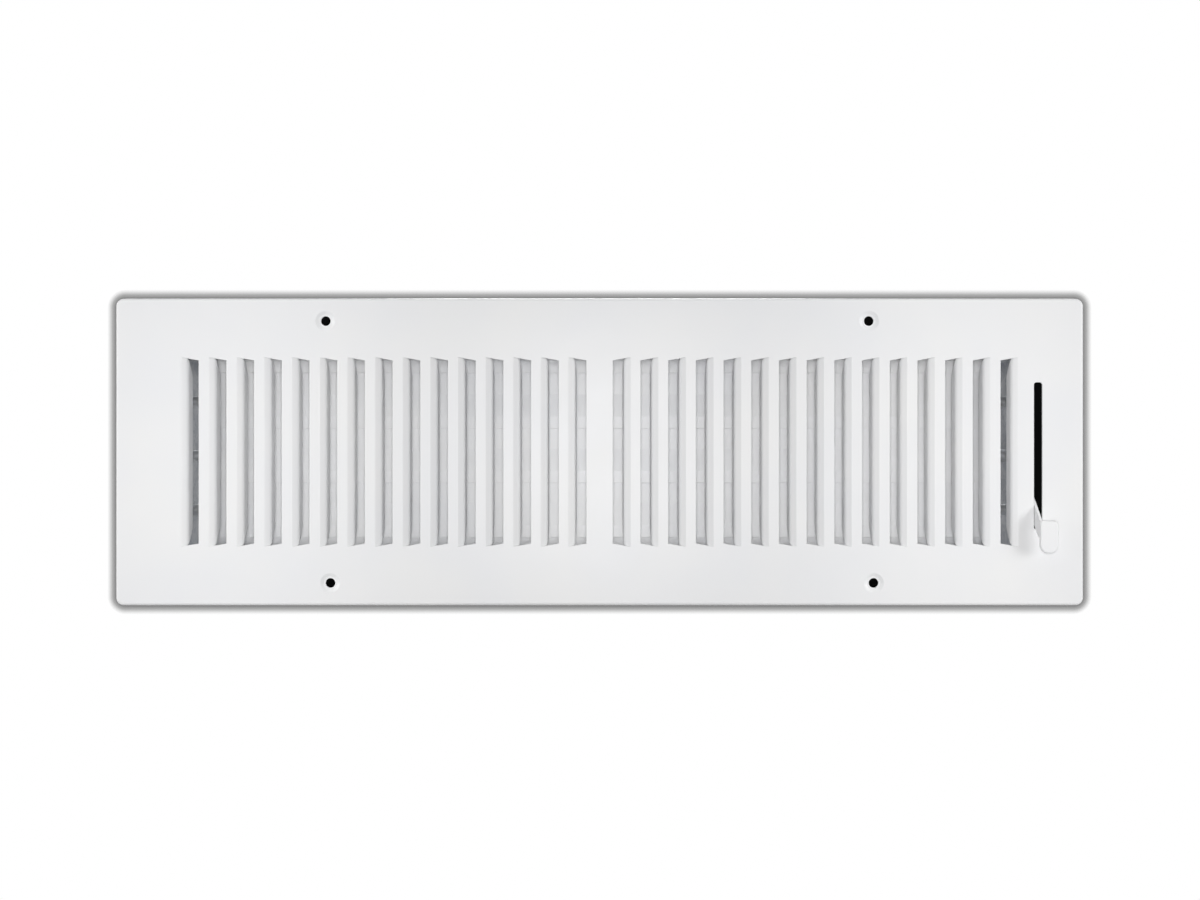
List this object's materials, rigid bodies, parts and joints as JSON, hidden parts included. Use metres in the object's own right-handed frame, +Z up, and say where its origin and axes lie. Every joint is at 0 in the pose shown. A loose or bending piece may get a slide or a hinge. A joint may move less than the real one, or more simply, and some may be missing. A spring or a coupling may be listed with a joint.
{
  "type": "sidewall register",
  "caption": "Rectangular louvered wall register of white sheet steel with a multi-blade damper behind it, worked by a lever in a side slot.",
  "frame": {"origin": "middle of the face plate on the wall plane, where the rim's back edge meets the wall", "axes": "+X to the right of someone facing the register, +Y into the wall, +Z up"},
  "size_m": [0.4508, 0.052, 0.144],
  "materials": {
    "white_enamel": "baked white enamel, satin, faint orange peel",
    "galvanised_steel": "galvanised sheet, dull, faint spangle",
    "zinc_plate": "bright zinc plate"
  },
  "bodies": {
    "frame": {"face_plate": "white_enamel", "top_rail": "galvanised_steel", "bottom_rail": "galvanised_steel", "left_end_plate": "galvanised_steel", "right_end_plate": "galvanised_steel", "top_stop_strip": "white_enamel", "bottom_stop_strip": "white_enamel", "corner_rivets": "zinc_plate"},
    "middle_blade": {"middle_blade": "white_enamel", "middle_left_pivot_pin": "zinc_plate", "lever_shaft": "zinc_plate", "operating_lever": "white_enamel", "spring_washer": "zinc_plate", "middle_link_pin": "zinc_plate"},
    "upper_blade": {"upper_blade": "white_enamel", "upper_left_pivot_pin": "zinc_plate", "upper_right_pivot_pin": "zinc_plate", "upper_link_pin": "zinc_plate"},
    "lower_blade": {"lower_blade": "white_enamel", "lower_left_pivot_pin": "zinc_plate", "lower_right_pivot_pin": "zinc_plate", "lower_link_pin": "zinc_plate"},
    "link_bar": {"link_bar": "galvanised_steel"}
  },
  "joints": [
    {"name": "lever_swing", "type": "hinge", "parent": "frame", "child": "middle_blade", "pos_m": [0, 0.0224, -0.00185], "axis": [-1, 0, 0], "range_deg": [0, 90]},
    {"name": "upper_blade_turn", "type": "hinge", "parent": "frame", "child": "upper_blade", "pos_m": [0, 0.0224, 0.02445], "axis": [-1, 0, 0], "range_deg": [0, 90]},
    {"name": "lower_blade_turn", "type": "hinge", "parent": "frame", "child": "lower_blade", "pos_m": [0, 0.0224, -0.02815], "axis": [-1, 0, 0], "range_deg": [0, 90]},
    {"name": "link_bar_pivot", "type": "hinge", "parent": "middle_blade", "child": "link_bar", "pos_m": [0.1947, 0.0302, 0.00595], "axis": [-1, 0, 0], "range_deg": [-90, 0]}
  ],
  "couplings": [
    {"joint": "upper_blade_turn", "follows": "lever_swing", "ratio": 1},
    {"joint": "lower_blade_turn", "follows": "lever_swing", "ratio": 1},
    {"joint": "link_bar_pivot", "follows": "lever_swing", "ratio": -1}
  ]
}
